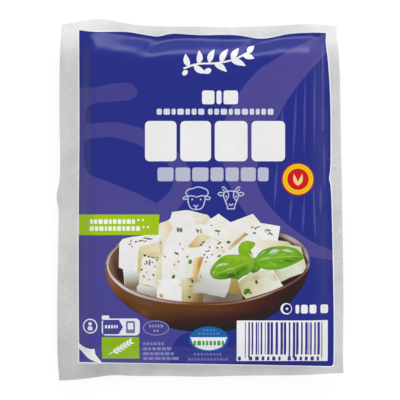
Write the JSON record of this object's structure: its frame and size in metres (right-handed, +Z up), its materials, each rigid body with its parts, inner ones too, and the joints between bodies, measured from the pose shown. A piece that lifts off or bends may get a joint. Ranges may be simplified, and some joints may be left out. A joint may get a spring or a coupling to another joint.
{
  "type": "vacuum-sealed feta pouch",
  "caption": "Flat vacuum pouch of printed film drawn tight over a slab of feta, welded round its wavy rim; it lies on its back with the printed face up.",
  "frame": {"origin": "under the middle of the pouch's outline, on the surface it lies on", "axes": "+Z up, out of the printed face; +Y towards the top edge of the print; +X to its right"},
  "size_m": [0.1154, 0.1454, 0.0127],
  "materials": {
    "printed_film": "semi-gloss reverse-printed film"
  },
  "bodies": {
    "root": {"feta_pouch": "printed_film"}
  },
  "joints": []
}
